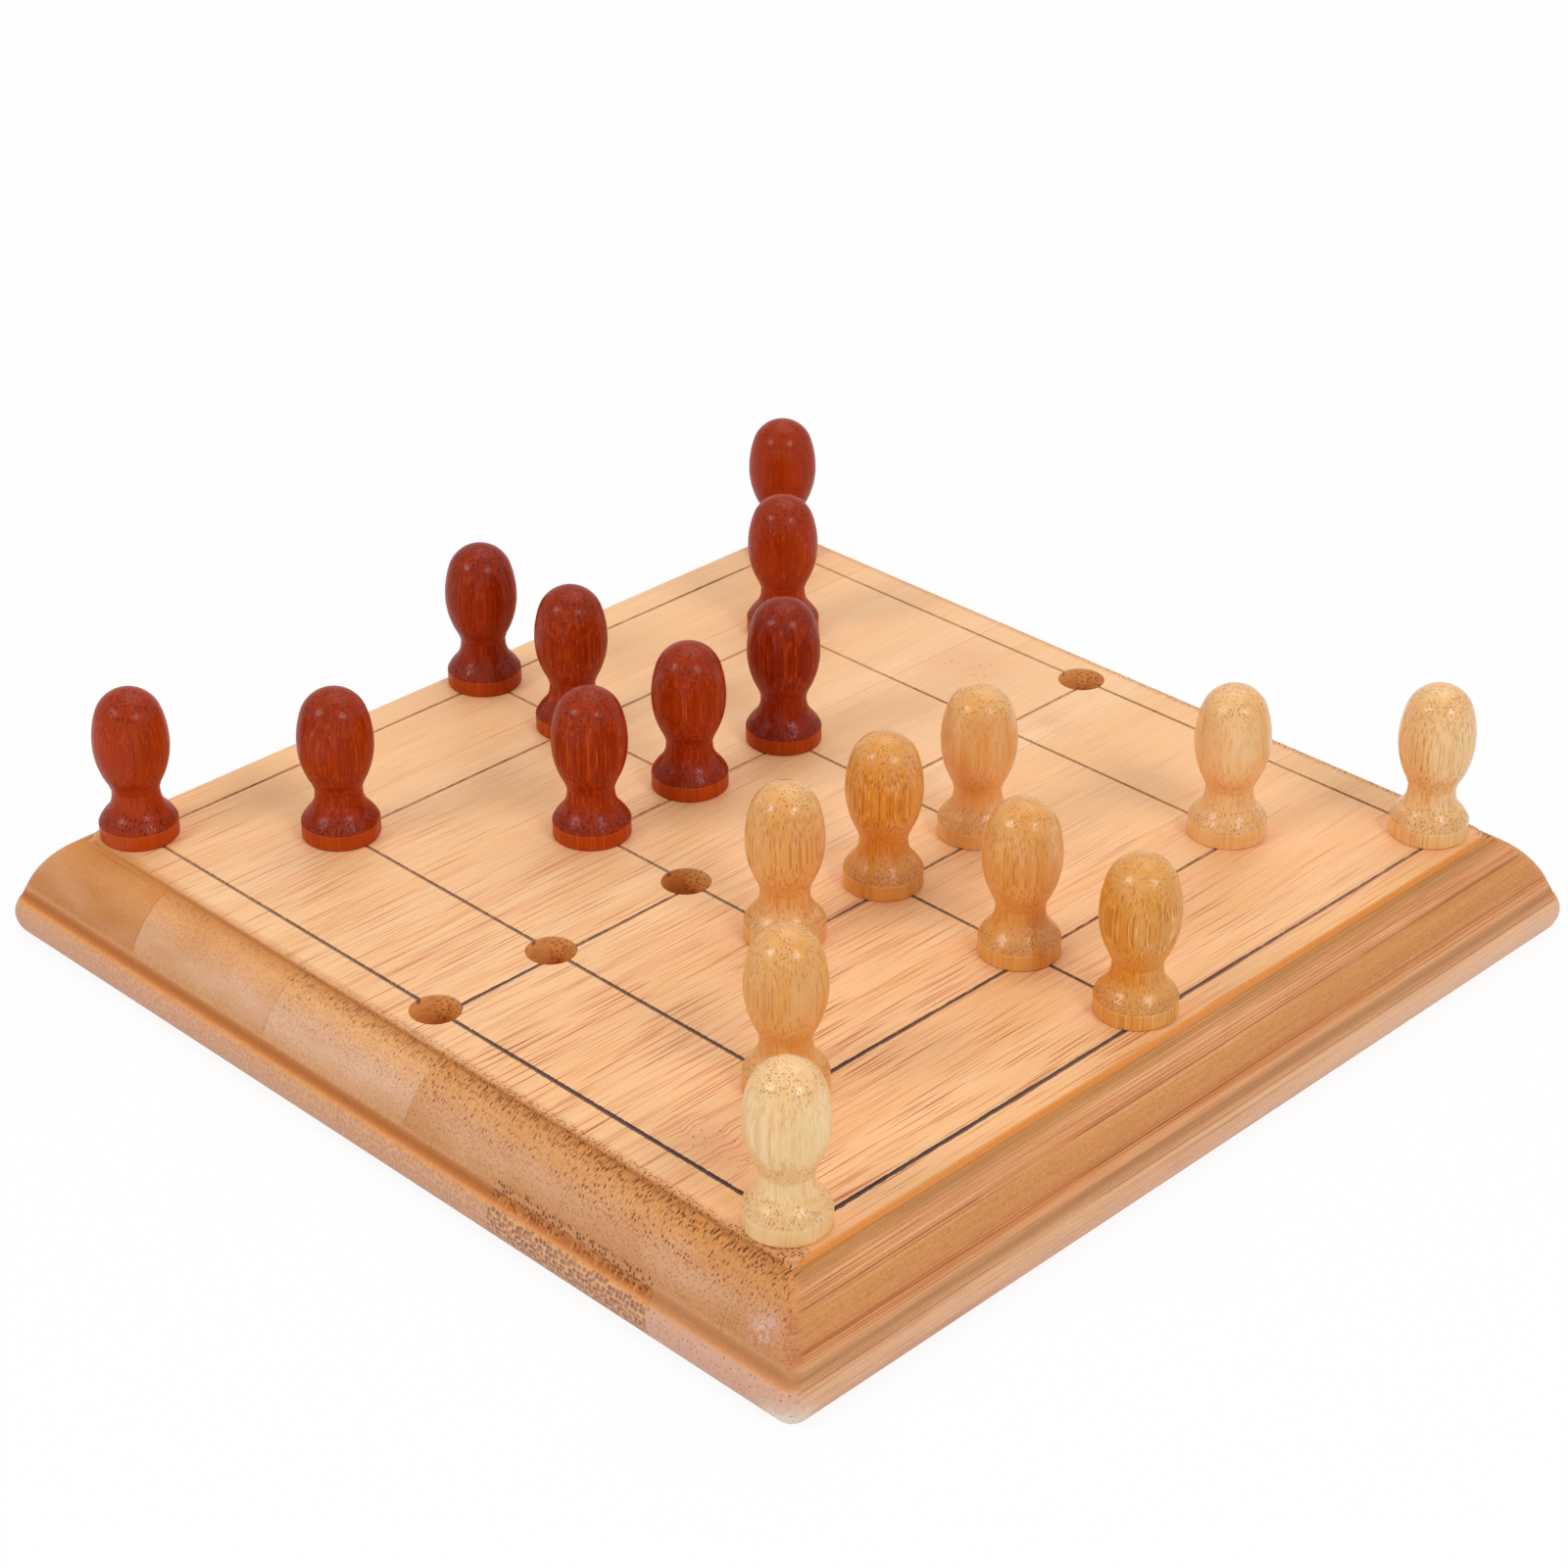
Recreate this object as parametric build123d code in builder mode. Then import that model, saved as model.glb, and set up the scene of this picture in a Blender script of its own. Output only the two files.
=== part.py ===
"""Nine men's morris board with turned pegs.

A square bamboo panel, glued up from flat strips in two layers, has a moulded edge,
a marked mill pattern on top and a peg hole at each point of the pattern. The holes run
through the top layer and end on the base layer.
Eighteen turned pegs, nine stained and nine plain, stand in their holes on round spigots.

Frame: the origin is the centre of the underside, +Z is up, and the grain runs along Y.
The stained pegs stand on the -X half and the plain pegs on the +X half.
All sizes are in millimetres.
"""

import os
from math import cos, hypot, radians, sin, sqrt

from build123d import *

# Panel: two layers of strips, with the glue line between them at BASE_LAYER
BOARD_SIDE = 152.0
BOARD_THICKNESS = 15.0
BASE_LAYER = 6.2

# Glued strips: one seam of each layer is placed, the rest follow at the strip width
STAVE_WIDTH = 28.0
TOP_SEAM_X = 7.0
BASE_SEAM_X = -4.2

# Moulded edge, from the underside up: round nose, shallow groove, ovolo, soft quirk below
# the top. Insets are measured in from the outermost line of the nose.
NOSE_RADIUS = 3.8
NOSE_TRIM = 1.0
NOSE_LIP_ANGLE = 37.0
GROOVE_RISE = 1.9
GROOVE_RADIUS = 1.7
GROOVE_DEPTH = 0.4
OVOLO_FOOT_INSET = 1.5
OVOLO_RADIUS = 13.5
QUIRK_DEPTH = 0.95
QUIRK_WIDTH = 0.7
QUIRK_HOLLOW = 0.5
TOP_INSET = 8.4
TOP_ROUND = 0.4
CORNER_ROUND = 2.6

# Mill pattern: three squares joined at the middles of their sides. The outer one keeps
# its margin to the outermost line of the nose.
OUTER_MARGIN = 14.0
MIDDLE_HALF_SIDE = 42.6
INNER_HALF_SIDE = 18.5

# Marked lines: a little wider than the drilled pattern, and shifted to the right of it
LINE_WIDTH = 0.5
LINE_DEPTH = 0.2
LINE_STRETCH_X = 1.014
LINE_SHIFT_X = 0.8

# Peg holes
HOLE_DIAMETER = 6.8
HOLE_SHIFT_X = -0.7

# Turned pegs: heights are measured up from the face that the foot stands on
FOOT_RADIUS = 5.4
FOOT_HEIGHT = 2.3
SKIRT_RADIUS = 4.3
SKIRT_HEIGHT = 3.9
NECK_RADIUS = 3.28
NECK_HEIGHT = 6.5
HEAD_BASE_HEIGHT = 8.6
HEAD_RADIUS = 5.2
HEAD_WIDEST = 14.2
HEAD_RISE = 7.8
CAP_STEP = 0.5
SPIGOT_CLEARANCE = 0.2
SPIGOT_GAP = 1.0
SPIGOT_CHAMFER = 0.5

HALF_SIDE = BOARD_SIDE / 2
TOP_HALF_SIDE = HALF_SIDE - TOP_INSET
OUTER_HALF_SIDE = HALF_SIDE - OUTER_MARGIN
LEDGE_Z = BOARD_THICKNESS - QUIRK_DEPTH
TOP_LAYER = BOARD_THICKNESS - BASE_LAYER
HOLE_RADIUS = HOLE_DIAMETER / 2
SPIGOT_RADIUS = HOLE_RADIUS - SPIGOT_CLEARANCE
SPIGOT_LENGTH = TOP_LAYER - SPIGOT_GAP
PEG_HEIGHT = HEAD_WIDEST + HEAD_RISE
CAP_RADIUS = HEAD_RADIUS - CAP_STEP

RINGS = {"outer": OUTER_HALF_SIDE, "middle": MIDDLE_HALF_SIDE, "inner": INNER_HALF_SIDE}
ROWS = {"front": -1, "centre": 0, "back": 1}
FINISHES = {"red": -1, "natural": 1}

STRIP_ALIGN = (Align.MIN, Align.CENTER, Align.MIN)
TOLERANCE = 0.001

os.makedirs("parts", exist_ok=True)


def hole_centre(ring, column, row):
    """Centre of the hole of a ring, with column and row each -1, 0 or 1."""
    return (HOLE_SHIFT_X + column * RINGS[ring], row * RINGS[ring])


HOLE_CENTRES = [
    hole_centre(ring, column, row)
    for ring in RINGS
    for column in (-1, 0, 1)
    for row in (-1, 0, 1)
    if column or row
]


# Ends of the arcs of the moulding, as (distance from the middle of the panel, height)
NOSE_CENTRE = (HALF_SIDE - NOSE_RADIUS, NOSE_RADIUS - NOSE_TRIM)
NOSE_FOOT = (NOSE_CENTRE[0] + sqrt(NOSE_RADIUS**2 - NOSE_CENTRE[1] ** 2), 0)
LIP = (
    NOSE_CENTRE[0] + NOSE_RADIUS * cos(radians(NOSE_LIP_ANGLE)),
    NOSE_CENTRE[1] + NOSE_RADIUS * sin(radians(NOSE_LIP_ANGLE)),
)
OVOLO_FOOT = (HALF_SIDE - OVOLO_FOOT_INSET, LIP[1] + GROOVE_RISE)


def moulding_half_outline():
    """Right half of the section below the quirk, from the ledge to the bottom centre."""
    ovolo_start = (TOP_HALF_SIDE + QUIRK_WIDTH, LEDGE_Z)
    Line((0, LEDGE_Z), ovolo_start)
    RadiusArc(ovolo_start, OVOLO_FOOT, OVOLO_RADIUS)
    Line(OVOLO_FOOT, LIP)
    ThreePointArc(LIP, (HALF_SIDE, NOSE_CENTRE[1]), NOSE_FOOT)
    Line(NOSE_FOOT, (0, 0))


def is_mitre(edge):
    """True for the edges where the mouldings of two sides meet."""
    middle = edge.center()
    return abs(abs(middle.X) - abs(middle.Y)) < TOLERANCE and edge.bounding_box().size.Z > 0


def is_quirk(edge):
    """True for the edges where the wall of the quirk stands on its ledge."""
    middle = edge.center()
    reach = max(abs(middle.X), abs(middle.Y))
    return abs(middle.Z - LEDGE_Z) < TOLERANCE and reach < TOP_HALF_SIDE + TOLERANCE


# Panel blank: the same moulded section run both ways meets in mitred corners, and the flat
# top stands on it with a soft quirk all round
with BuildPart() as blank:
    for plane, mode in ((Plane.XZ, Mode.ADD), (Plane.YZ, Mode.INTERSECT)):
        with BuildSketch(plane) as section:
            with BuildLine():
                moulding_half_outline()
                mirror(about=Plane.YZ)
            make_face()
        extrude(amount=HALF_SIDE, both=True, mode=mode)
    fillet(blank.edges().filter_by(is_mitre), radius=CORNER_ROUND)
    with BuildSketch(Plane.XY.offset(LEDGE_Z)):
        RectangleRounded(2 * TOP_HALF_SIDE, 2 * TOP_HALF_SIDE, CORNER_ROUND)
    extrude(amount=QUIRK_DEPTH)
    fillet(blank.faces().sort_by(Axis.Z)[-1].edges(), radius=TOP_ROUND)
    fillet(blank.edges().filter_by(is_quirk), radius=QUIRK_HOLLOW)

# Groove between nose and ovolo: a rod along each side, sunk GROOVE_DEPTH into the band
# from the lip of the nose to the foot of the ovolo, wide enough to take both edges off it
band = hypot(LIP[0] - OVOLO_FOOT[0], LIP[1] - OVOLO_FOOT[1])
standoff = GROOVE_RADIUS - GROOVE_DEPTH
rod_reach = (LIP[0] + OVOLO_FOOT[0]) / 2 + standoff * (OVOLO_FOOT[1] - LIP[1]) / band
rod_z = (LIP[1] + OVOLO_FOOT[1]) / 2 + standoff * (LIP[0] - OVOLO_FOOT[0]) / band
with BuildPart() as panel:
    add(blank.part)
    for turn in (0, 90, 180, 270):
        with Locations(Rot(0, 0, turn) * Pos(rod_reach, 0, rod_z)):
            Cylinder(GROOVE_RADIUS, BOARD_SIDE, rotation=(90, 0, 0), mode=Mode.SUBTRACT)

# Marked lines: three rings, and four lines that join them at the middles of their sides
with BuildSketch(Plane.XY.offset(BOARD_THICKNESS)) as marking:
    with Locations((LINE_SHIFT_X, 0)):
        for half in sorted(RINGS.values(), reverse=True):
            width = 2 * half * LINE_STRETCH_X
            Rectangle(width + LINE_WIDTH, 2 * half + LINE_WIDTH)
            Rectangle(width - LINE_WIDTH, 2 * half - LINE_WIDTH, mode=Mode.SUBTRACT)
    bridge = OUTER_HALF_SIDE - INNER_HALF_SIDE
    reach = (OUTER_HALF_SIDE + INNER_HALF_SIDE) / 2
    with Locations((LINE_SHIFT_X, reach), (LINE_SHIFT_X, -reach)):
        Rectangle(LINE_WIDTH, bridge)
    with Locations(
        (LINE_SHIFT_X + reach * LINE_STRETCH_X, 0),
        (LINE_SHIFT_X - reach * LINE_STRETCH_X, 0),
    ):
        Rectangle(bridge * LINE_STRETCH_X, LINE_WIDTH)


def strips(seam_x):
    """Number, left side and right side of each strip of a layer with a seam at seam_x."""
    seams_before = (HALF_SIDE + seam_x) // STAVE_WIDTH
    seam = seam_x - STAVE_WIDTH * seams_before
    sides = [-HALF_SIDE]
    while seam < HALF_SIDE:
        sides.append(seam)
        seam += STAVE_WIDTH
    sides.append(HALF_SIDE)
    return list(zip(range(1, len(sides)), sides, sides[1:]))


# Top strips carry the marked lines and the peg holes
for number, left, right in strips(TOP_SEAM_X):
    with BuildPart() as top_stave:
        add(panel.part)
        with Locations((left, 0, BASE_LAYER)):
            Box(right - left, BOARD_SIDE, TOP_LAYER, align=STRIP_ALIGN, mode=Mode.INTERSECT)
        extrude(marking.sketch, amount=-LINE_DEPTH, mode=Mode.SUBTRACT)
        for x, y in HOLE_CENTRES:
            if left - HOLE_RADIUS < x < right + HOLE_RADIUS:
                with Locations((x, y, BOARD_THICKNESS)):
                    Hole(HOLE_RADIUS, depth=TOP_LAYER)
    top_stave.part.label = f"top_stave_{number}"
    export_step(top_stave.part, f"parts/{top_stave.part.label}.step")

# Base strips back them, with their seams offset from the seams above
for number, left, right in strips(BASE_SEAM_X):
    with BuildPart() as base_stave:
        add(panel.part)
        with Locations((left, 0, 0)):
            Box(right - left, BOARD_SIDE, BASE_LAYER, align=STRIP_ALIGN, mode=Mode.INTERSECT)
    base_stave.part.label = f"base_stave_{number}"
    export_step(base_stave.part, f"parts/{base_stave.part.label}.step")


def peg_outline():
    """Half outline of a turned peg: spigot, foot, skirt, neck and egg-shaped head."""
    arris = (FOOT_RADIUS, FOOT_HEIGHT)
    skirt = (SKIRT_RADIUS, SKIRT_HEIGHT)
    neck = (NECK_RADIUS, NECK_HEIGHT)
    widest = (HEAD_RADIUS, HEAD_WIDEST)
    # The hollow of the neck turns into the bulge of the head on the line between them
    head_share = (HEAD_BASE_HEIGHT - NECK_HEIGHT) / (HEAD_WIDEST - NECK_HEIGHT)
    head_base = (NECK_RADIUS + head_share * (HEAD_RADIUS - NECK_RADIUS), HEAD_BASE_HEIGHT)
    # The head's upper side is an arc that runs tangent into the round cap
    rise = HEAD_RISE - CAP_RADIUS
    side_radius = (HEAD_RADIUS**2 - CAP_RADIUS**2 + rise**2) / (2 * CAP_STEP)
    span = hypot(side_radius - HEAD_RADIUS, rise)
    cap_edge = (
        CAP_RADIUS * (side_radius - HEAD_RADIUS) / span,
        PEG_HEIGHT - CAP_RADIUS + CAP_RADIUS * rise / span,
    )
    Polyline(
        (0, PEG_HEIGHT),
        (0, -SPIGOT_LENGTH),
        (SPIGOT_RADIUS - SPIGOT_CHAMFER, -SPIGOT_LENGTH),
        (SPIGOT_RADIUS, -SPIGOT_LENGTH + SPIGOT_CHAMFER),
        (SPIGOT_RADIUS, 0),
        (FOOT_RADIUS, 0),
        arris,
    )
    lower_cove = TangentArc(neck, skirt, tangent=(0, -1))
    TangentArc(skirt, arris, tangent=lower_cove % 1)
    TangentArc(neck, head_base, tangent=(0, 1))
    TangentArc(widest, head_base, tangent=(0, -1))
    upper_side = TangentArc(widest, cap_edge, tangent=(0, 1))
    TangentArc(cap_edge, (0, PEG_HEIGHT), tangent=upper_side % 1)


# Pegs: the stained ones fill the left column of holes, the plain ones the right column
for finish, column in FINISHES.items():
    for ring in RINGS:
        for row_name, row in ROWS.items():
            x, y = hole_centre(ring, column, row)
            seat = Plane(origin=(x, y, BOARD_THICKNESS), x_dir=(1, 0, 0), z_dir=(0, -1, 0))
            with BuildPart() as peg:
                with BuildSketch(seat):
                    with BuildLine():
                        peg_outline()
                    make_face()
                revolve(axis=Axis((x, y, 0), (0, 0, 1)))
            peg.part.label = f"{finish}_peg_{ring}_{row_name}"
            export_step(peg.part, f"parts/{peg.part.label}.step")
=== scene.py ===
"""Looks of the peg mill board: bamboo strips, turned pegs, studio light and camera.

Objects are in metres in the frame of the CAD model. Shader and profile lengths are in
millimetres. Fibres run along Y in the board and along Z in the pegs.
"""

import math
import random

import bpy
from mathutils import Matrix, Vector


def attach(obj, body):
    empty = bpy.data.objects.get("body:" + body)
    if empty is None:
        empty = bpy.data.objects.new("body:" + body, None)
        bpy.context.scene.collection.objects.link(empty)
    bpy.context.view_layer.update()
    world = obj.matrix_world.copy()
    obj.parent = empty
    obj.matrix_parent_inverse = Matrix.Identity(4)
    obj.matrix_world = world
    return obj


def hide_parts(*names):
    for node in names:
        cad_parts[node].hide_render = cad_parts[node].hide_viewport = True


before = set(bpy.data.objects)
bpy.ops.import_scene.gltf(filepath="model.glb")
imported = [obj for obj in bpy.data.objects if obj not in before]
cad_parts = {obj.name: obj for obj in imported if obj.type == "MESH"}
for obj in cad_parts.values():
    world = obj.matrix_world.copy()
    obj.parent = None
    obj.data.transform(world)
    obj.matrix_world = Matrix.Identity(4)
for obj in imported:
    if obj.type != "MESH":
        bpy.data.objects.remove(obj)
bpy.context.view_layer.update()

MM = 0.001

# Board, in millimetres
HALF_SIDE = 76.0
THICKNESS = 15.0
STAVE_WIDTH = 28.0
TOP_SEAM_X = 7.0
BASE_SEAM_X = -4.2
TOP_EDGE = 67.6
RINGS = {"outer": 62.0, "middle": 42.6, "inner": 18.5}
ROWS = {"front": -1, "centre": 0, "back": 1}
LINE_SHIFT_X = 0.8
LINE_STRETCH_X = 1.014
HOLE_SHIFT_X = -0.7

# Heights on the moulded edge, from the underside up
NOSE = (-1.0, 5.0)
GROOVE = (5.0, 8.4)
OVOLO_BELLY = (8.7, 11.6)
QUIRK_SLOPE = (13.3, 14.8)
QUIRK_HOLLOW = (13.5, 14.75)
QUIRK_WALL = (14.2, 14.95)

# Strip of the base whose fibres are torn in the groove
TORN_STRIP = (24.0, 51.8)

# Pegs, in millimetres above the board
FOOT_HEIGHT = 2.3
# Heights of the painted shade and reflected light in the neck and under the head
NECK_SHADE_BAND = (5.2, 10.0)


def srgb(red, green, blue):
    """Linear colour, with alpha, from 8-bit sRGB values."""
    linear = []
    for value in (red, green, blue):
        value /= 255
        linear.append(value / 12.92 if value <= 0.04045 else ((value + 0.055) / 1.055) ** 2.4)
    return (*linear, 1.0)


def grey(level):
    """A level as a colour with alpha."""
    return (level, level, level, 1.0)


class Signal:
    """A node's output that takes part in sums like a number."""

    def __init__(self, net, socket):
        self.net = net
        self.socket = socket

    def __add__(self, other):
        return self.net.math("ADD", self, other)

    def __radd__(self, other):
        return self.net.math("ADD", other, self)

    def __sub__(self, other):
        return self.net.math("SUBTRACT", self, other)

    def __rsub__(self, other):
        return self.net.math("SUBTRACT", other, self)

    def __mul__(self, other):
        return self.net.math("MULTIPLY", self, other)

    def __rmul__(self, other):
        return self.net.math("MULTIPLY", other, self)

    def __truediv__(self, other):
        return self.net.math("DIVIDE", self, other)

    def __abs__(self):
        return self.net.math("ABSOLUTE", self)


class Net:
    """The node tree of a material, built by short calls."""

    def __init__(self, name):
        self.material = bpy.data.materials.new(name)
        self.material.use_nodes = True
        self.tree = self.material.node_tree
        self.shader = self.tree.nodes["Principled BSDF"]

    def put(self, socket, value):
        """Links a signal to a socket, or sets a constant on it."""
        if isinstance(value, Signal):
            self.tree.links.new(value.socket, socket)
        else:
            socket.default_value = value

    def add(self, kind, inputs, **settings):
        """A new node with the given settings; inputs go by name or by index."""
        node = self.tree.nodes.new("ShaderNode" + kind)
        for key, value in settings.items():
            setattr(node, key, value)
        for key, value in inputs.items():
            self.put(node.inputs[key], value)
        return node

    def math(self, operation, *values):
        node = self.add("Math", dict(enumerate(values)), operation=operation)
        return Signal(self, node.outputs[0])

    def vector(self, x, y, z):
        return Signal(self, self.add("CombineXYZ", {0: x, 1: y, 2: z}).outputs[0])

    def split(self, vector):
        node = self.add("SeparateXYZ", {0: vector})
        return [Signal(self, output) for output in node.outputs]

    def place(self):
        """Coordinates in the row frame, in millimetres."""
        node = self.add("TexCoord", {})
        metres = Signal(self, node.outputs["Object"])
        scaled = self.add("VectorMath", {0: metres}, operation="SCALE")
        scaled.inputs["Scale"].default_value = 1 / MM
        return self.split(Signal(self, scaled.outputs[0]))

    def normal(self):
        """Parts of the surface's direction."""
        node = self.add("TexCoord", {})
        return self.split(Signal(self, node.outputs["Normal"]))

    def noise(self, vector, detail=2.0, roughness=0.5):
        """Smooth noise around 0.5, one feature per unit."""
        node = self.add(
            "TexNoise", {"Vector": vector, "Scale": 1.0, "Detail": detail, "Roughness": roughness}
        )
        return Signal(self, node.outputs[0])

    def noises(self, vector, detail=1.0):
        """Three independent smooth noises around 0.5."""
        node = self.add("TexNoise", {"Vector": vector, "Scale": 1.0, "Detail": detail})
        return self.split(Signal(self, node.outputs[1]))

    def grid(self, u, v, randomness=0.8):
        """Distance to the nearest point of a jittered flat grid, and its three random values."""
        inputs = {"Vector": self.vector(u, v, 0.0), "Scale": 1.0, "Randomness": randomness}
        node = self.add("TexVoronoi", inputs, voronoi_dimensions="2D")
        distance = Signal(self, node.outputs["Distance"])
        return distance, self.split(Signal(self, node.outputs["Color"]))

    def chance(self, value):
        """Three random values that stay the same while value does."""
        node = self.add("TexWhiteNoise", {"W": value}, noise_dimensions="1D")
        return self.split(Signal(self, node.outputs["Color"]))

    def ease(self, value, low, high):
        """Smooth step from 0 at low to 1 at high; low may be above high."""
        inputs = {"Value": value, "From Min": low, "From Max": high, "To Min": 0.0, "To Max": 1.0}
        node = self.add("MapRange", inputs, interpolation_type="SMOOTHSTEP")
        return Signal(self, node.outputs[0])

    def low(self, *values):
        return self.math("MINIMUM", *values)

    def high(self, *values):
        return self.math("MAXIMUM", *values)

    def clamp(self, value):
        node = self.add("Clamp", {"Value": value})
        return Signal(self, node.outputs[0])

    def spot(self, x, y, centre, reach):
        """Bell of height 1 round a centre on the board."""
        across = (x - centre[0]) / reach[0]
        along = (y - centre[1]) / reach[1]
        return self.math("EXPONENT", (across * across + along * along) * -1.0)

    def mix(self, factor, first, second):
        node = self.add("Mix", {0: factor, 6: first, 7: second}, data_type="RGBA")
        node.clamp_factor = True
        return Signal(self, node.outputs[2])

    def ramp(self, value, low, high, stops, interpolation="LINEAR"):
        """Colour ramp over value from low to high; stops are (value, colour)."""
        span = high - low
        node = self.add("ValToRGB", {0: (value - low) / span})
        node.color_ramp.interpolation = interpolation
        elements = node.color_ramp.elements
        while len(elements) < len(stops):
            elements.new(1.0)
        for element, (position, colour) in zip(elements, stops):
            element.position = (position - low) / span
            element.color = colour
        return Signal(self, node.outputs[0])

    def steps(self, value, edges, levels):
        """A number that changes at each edge."""
        starts = [-HALF_SIDE, *edges]
        stops = [(start, grey(level)) for start, level in zip(starts, levels)]
        return self.ramp(value, -HALF_SIDE, HALF_SIDE, stops, "CONSTANT")

    def brightness(self, colour, factor):
        """The colour times a number."""
        node = self.add("VectorMath", {0: colour}, operation="SCALE")
        self.put(node.inputs["Scale"], factor)
        return Signal(self, node.outputs[0])

    def finish(self, colour, roughness, height, **constants):
        """Connects the shader; height is in millimetres."""
        bump = self.add("Bump", {"Height": height, "Strength": 1.0, "Distance": MM})
        self.put(self.shader.inputs["Base Color"], colour)
        self.put(self.shader.inputs["Roughness"], roughness)
        for socket in ("Normal", "Coat Normal"):
            self.put(self.shader.inputs[socket], Signal(self, bump.outputs[0]))
        for key, value in constants.items():
            self.shader.inputs[key.replace("_", " ")].default_value = value
        return self.material


def seams(seam_x):
    """Seams of a layer that has one at seam_x."""
    first = seam_x - STAVE_WIDTH * ((HALF_SIDE + seam_x) // STAVE_WIDTH)
    return [first + STAVE_WIDTH * step for step in range(5)]


# Knots on the top face: centre, reach and strength
KNOTS = (
    ((45.0, -57.5), (6.5, 3.5), 1.0),
    ((-15.0, 54.0), (8.0, 6.5), 0.6),
    ((5.0, 49.5), (3.5, 3.0), 0.6),
)


def line_distance(net, x, y):
    """Distance to the nearest marked line."""
    u = abs(x - LINE_SHIFT_X)
    v = abs(y)
    nearest = None
    for half in RINGS.values():
        ring = abs(net.high(u - half * LINE_STRETCH_X, v - half))
        nearest = ring if nearest is None else net.low(nearest, ring)
    for side, other in ((u, v), (v, u)):
        beyond = net.high(RINGS["inner"] - other, other - RINGS["outer"])
        nearest = net.low(nearest, net.high(side, beyond))
    return nearest


def band(net, value, low, high, soft):
    """1 between low and high, with soft ends."""
    return net.ease(value, low - soft, low + soft) * net.ease(value, high + soft, high - soft)


def top_grain(net, x, y, across, along, depth, knot, tone):
    """Sanded top: golden bands under a comb of thin reddish streaks, denser to the front."""
    # Towards the front: denser streaks, and a warmer, darker tone that is painted shade
    front = net.ease(y - x * 0.8, 60.0, -70.0)
    cluster = net.noise(net.vector(across / 3.0, depth / 3.4, along / 40.0), 1.0)
    rich = net.ease(cluster + front * 0.16, 0.4, 0.72)
    broad = net.noise(net.vector(across / 5.0, depth / 5.0, along / 150.0), 1.0)
    rosy = net.noise(net.vector(across / 2.4, depth / 2.4, along / 70.0 + 7.0), 1.0)
    warm = net.clamp(tone + (broad - 0.5) * 1.3 + front * 0.25)
    colour = net.mix(warm, srgb(253, 208, 160), srgb(246, 187, 128))
    rosy = net.ease(rosy, 0.52, 0.75) * (0.1 + 0.4 * front)
    colour = net.mix(rosy, colour, srgb(238, 168, 124))
    distance, chance = net.grid(across / 0.36, along / 19.0, 1.0)
    width = 0.08 + chance[0] * 0.2
    streak = net.ease(distance, width + 0.1, width - 0.04) * (0.25 + 0.75 * chance[1])
    streak = streak * (0.4 + 0.6 * rich) * (0.12 + 0.88 * front)
    colour = net.mix(streak, colour, srgb(200, 104, 54))
    distance, chance = net.grid(across / 0.85, along / 42.0, 1.0)
    long = net.ease(distance, 0.16, 0.05) * net.ease(chance[0], 0.3, 0.8)
    long = long * (0.14 + 0.86 * front) * (1.0 - knot)
    colour = net.mix(long * 0.95, colour, srgb(178, 84, 42))
    hair = net.noise(net.vector(across / 0.12, depth / 0.4, along / 7.0), 1.0)
    hair = net.ease(hair, 0.5, 0.8) * (0.08 + 0.1 * front + 0.16 * rich)
    colour = net.mix(hair, colour, srgb(216, 134, 78))
    colour = net.mix(knot * 0.45, colour, srgb(224, 150, 112))
    distance, chance = net.grid(x / 1.4, y / 1.0, 1.0)
    speck = net.ease(distance, 0.06 + 0.2 * chance[1], 0.02) * net.ease(chance[0], 0.5, 0.7)
    colour = net.mix(speck * net.ease(knot, 0.25, 0.6) * 0.8, colour, srgb(138, 74, 54))
    return colour, net.high(streak, long)


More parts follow.
